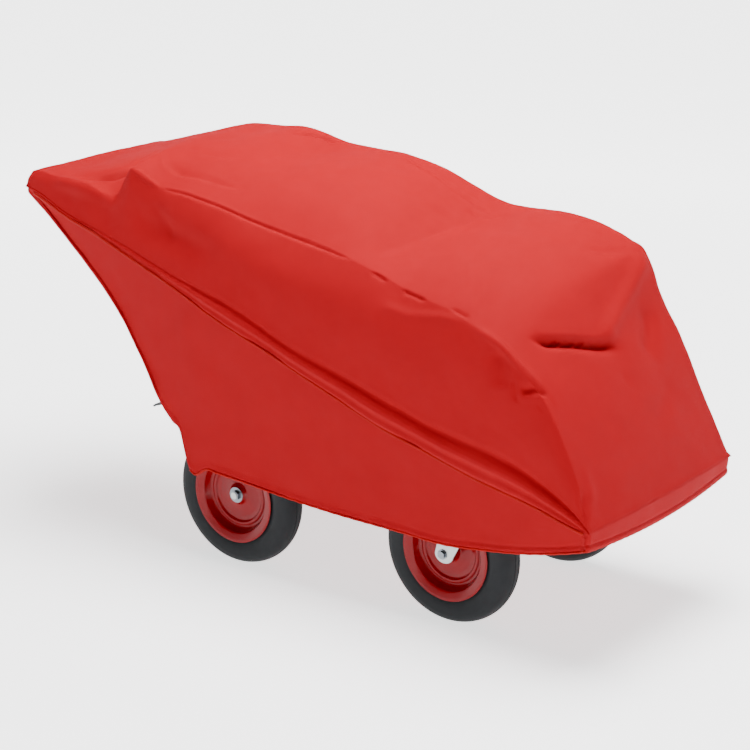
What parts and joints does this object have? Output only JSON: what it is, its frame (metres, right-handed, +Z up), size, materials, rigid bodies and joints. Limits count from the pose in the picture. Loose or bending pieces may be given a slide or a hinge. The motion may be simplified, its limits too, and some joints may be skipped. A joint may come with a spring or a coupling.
{
  "type": "covered push buggy",
  "caption": "Multi-seat childcare push buggy with fixed rear wheels, front casters, push handle and foot brake, under a sewn fitted storage cover.",
  "frame": {"origin": "on the floor, under the middle of the whole object's box", "axes": "+X forwards towards the nose, +Y to the buggy's left, +Z up"},
  "size_m": [1.946, 0.7184, 1.113],
  "materials": {
    "cover_cloth": "matt woven nylon",
    "cover_binding": "stitched binding tape",
    "hem_elastic": "covered elastic",
    "tub_plastic": "moulded",
    "seat_plastic": "moulded",
    "seat_pad": "padded cloth",
    "frame_paint": "black powder coat",
    "zinc": "bright zinc plate",
    "rim_paint": "gloss enamel",
    "tyre_rubber": "satin rubber",
    "hub_bush": "nylon",
    "handle_foam": "foam",
    "brake_rubber": "brake block"
  },
  "bodies": {
    "buggy": {"back_pad_front": "seat_pad", "back_pad_middle": "seat_pad", "back_pad_rear": "seat_pad", "brake_bearing_left": "frame_paint", "brake_bearing_right": "frame_paint", "caster_plate_left": "zinc", "caster_plate_right": "zinc", "cover_nose_band": "cover_cloth", "cover_rear": "cover_cloth", "cover_side_left": "cover_cloth", "cover_side_right": "cover_cloth", "cover_top": "cover_cloth", "frame_rail_left": "frame_paint", "frame_rail_right": "frame_paint", "front_cross_beam": "frame_paint", "handle_grip": "handle_foam", "handle_saddle_left": "zinc", "handle_saddle_right": "zinc", "hem_elastic": "hem_elastic", "kingpin_left": "zinc", "kingpin_right": "zinc", "push_handle": "zinc", "rear_axle": "zinc", "rear_axle_hanger": "frame_paint", "rear_axle_nut_left": "zinc", "rear_axle_nut_right": "zinc", "seam_binding_left": "cover_binding", "seam_binding_right": "cover_binding", "seat_pad_front": "seat_pad", "seat_pad_middle": "seat_pad", "seat_pad_rear": "seat_pad", "seat_shell_front": "seat_plastic", "seat_shell_middle": "seat_plastic", "seat_shell_rear": "seat_plastic", "swivel_bearing_left": "zinc", "swivel_bearing_right": "zinc", "tub": "tub_plastic"},
    "rear_wheel_left": {"rear_tyre_left": "tyre_rubber", "rear_rim_left": "rim_paint", "rear_hub_bush_left": "hub_bush"},
    "caster_left": {"caster_fork_left": "zinc", "caster_axle_bolt_left": "zinc", "caster_axle_nut_left": "zinc"},
    "front_wheel_left": {"front_tyre_left": "tyre_rubber", "front_rim_left": "rim_paint", "front_hub_sleeve_left": "hub_bush"},
    "rear_wheel_right": {"rear_tyre_right": "tyre_rubber", "rear_rim_right": "rim_paint", "rear_hub_bush_right": "hub_bush"},
    "caster_right": {"caster_fork_right": "zinc", "caster_axle_bolt_right": "zinc", "caster_axle_nut_right": "zinc"},
    "front_wheel_right": {"front_tyre_right": "tyre_rubber", "front_rim_right": "rim_paint", "front_hub_sleeve_right": "hub_bush"},
    "brake": {"brake_shaft": "frame_paint", "brake_pedal": "frame_paint", "brake_shoe_left": "brake_rubber", "brake_shoe_right": "brake_rubber"}
  },
  "joints": [
    {"name": "rear_wheel_spin_left", "type": "hinge", "parent": "buggy", "child": "rear_wheel_left", "pos_m": [-0.22, 0.269, 0.2], "axis": [0, 1, 0], "continuous": true},
    {"name": "rear_wheel_spin_right", "type": "hinge", "parent": "buggy", "child": "rear_wheel_right", "pos_m": [-0.22, -0.269, 0.2], "axis": [0, 1, 0], "continuous": true},
    {"name": "caster_swivel_left", "type": "hinge", "parent": "buggy", "child": "caster_left", "pos_m": [0.544, 0.262, 0.41], "axis": [0, 0, 1], "range_deg": [-8, 8]},
    {"name": "front_wheel_spin_left", "type": "hinge", "parent": "caster_left", "child": "front_wheel_left", "pos_m": [0.489, 0.262, 0.2], "axis": [0, 1, 0], "continuous": true},
    {"name": "caster_swivel_right", "type": "hinge", "parent": "buggy", "child": "caster_right", "pos_m": [0.544, -0.262, 0.41], "axis": [0, 0, 1], "range_deg": [-8, 8]},
    {"name": "front_wheel_spin_right", "type": "hinge", "parent": "caster_right", "child": "front_wheel_right", "pos_m": [0.489, -0.262, 0.2], "axis": [0, 1, 0], "continuous": true},
    {"name": "brake_pedal_press", "type": "hinge", "parent": "buggy", "child": "brake", "pos_m": [-0.34, 0, 0.437], "axis": [0, -1, 0], "range_deg": [0, 10.5]}
  ]
}
